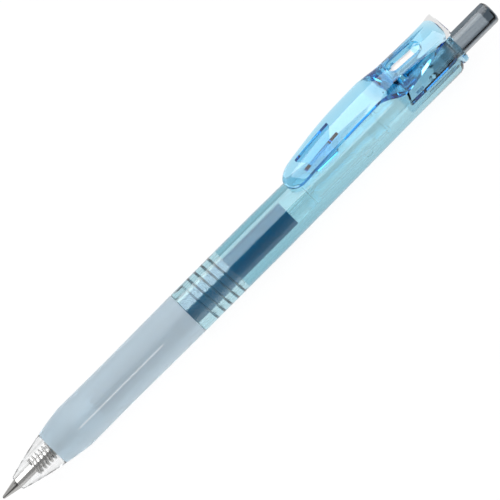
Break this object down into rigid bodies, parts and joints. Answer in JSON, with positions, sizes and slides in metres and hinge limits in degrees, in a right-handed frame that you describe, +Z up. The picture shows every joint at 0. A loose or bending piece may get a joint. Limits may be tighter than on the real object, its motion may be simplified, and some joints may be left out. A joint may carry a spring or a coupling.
{
  "type": "gel pen",
  "caption": "Retractable gel pen with a transparent barrel, frosted rubber grip, clear nose, hinged sprung clip and six-sided push button, shown with its point out.",
  "frame": {"origin": "middle of the pen's length, under its axis, at the lowest line of the barrel that it lies on", "axes": "+X along the pen from the writing point to the push button, +Z up through the clip, +Y across the pen"},
  "size_m": [0.1422, 0.0104, 0.0149],
  "materials": {
    "barrel_plastic": "transparent light blue moulding, polished",
    "clear_plastic": "colourless clear moulding, polished",
    "grip_rubber": "frosted translucent soft rubber, pale grey-blue",
    "clip_plastic": "transparent bright blue moulding, polished",
    "leaf_steel": "pale rolled strip",
    "button_plastic": "translucent smoke grey moulding, polished",
    "rotor_plastic": "clear moulding, polished",
    "spring_steel": "bright drawn wire",
    "tube_plastic": "clear extruded tube",
    "ink": "blue-black gel ink",
    "follower_grease": "clear grease",
    "holder_plastic": "translucent natural moulding",
    "tip_steel": "turned and polished stainless steel",
    "ball_carbide": "ground and lapped ball"
  },
  "bodies": {
    "barrel": {"barrel": "barrel_plastic", "clip_holder": "clip_plastic", "clip_spring": "leaf_steel"},
    "front_section": {"front_section": "clear_plastic", "grip": "grip_rubber", "return_spring": "spring_steel"},
    "clip": {"clip": "clip_plastic"},
    "refill": {"ink_tube": "tube_plastic", "gel_ink": "ink", "ink_follower": "follower_grease", "tip_holder": "holder_plastic", "metal_tip": "tip_steel", "writing_ball": "ball_carbide"},
    "rotor": {"cam_rotor": "rotor_plastic"},
    "button": {"push_button": "button_plastic"}
  },
  "joints": [
    {"name": "refill_slide", "type": "slide", "parent": "barrel", "child": "refill", "axis": [1, 0, 0], "range_m": [-0.0012, 0.0056], "stiffness_N_per_m": 100, "deforming": ["return_spring"]},
    {"name": "button_slide", "type": "slide", "parent": "barrel", "child": "button", "axis": [1, 0, 0], "range_m": [-0.0012, 0.0056]},
    {"name": "rotor_turn", "type": "hinge", "parent": "refill", "child": "rotor", "pos_m": [0.045, 0, 0.0052], "axis": [1, 0, 0], "continuous": true},
    {"name": "clip_hinge", "type": "hinge", "parent": "barrel", "child": "clip", "pos_m": [0.04785, 0, 0.0117], "axis": [0, 1, 0], "range_deg": [0, 12], "stiffness_Nm_per_rad": 0.02, "springref_deg": -0.29, "deforming": ["clip_spring"]},
    {"name": "front_off", "type": "slide", "parent": "barrel", "child": "front_section", "axis": [-1, 0, 0], "range_m": [0, 0.07]}
  ],
  "couplings": [
    {"joint": "button_slide", "follows": "refill_slide", "ratio": 1}
  ]
}
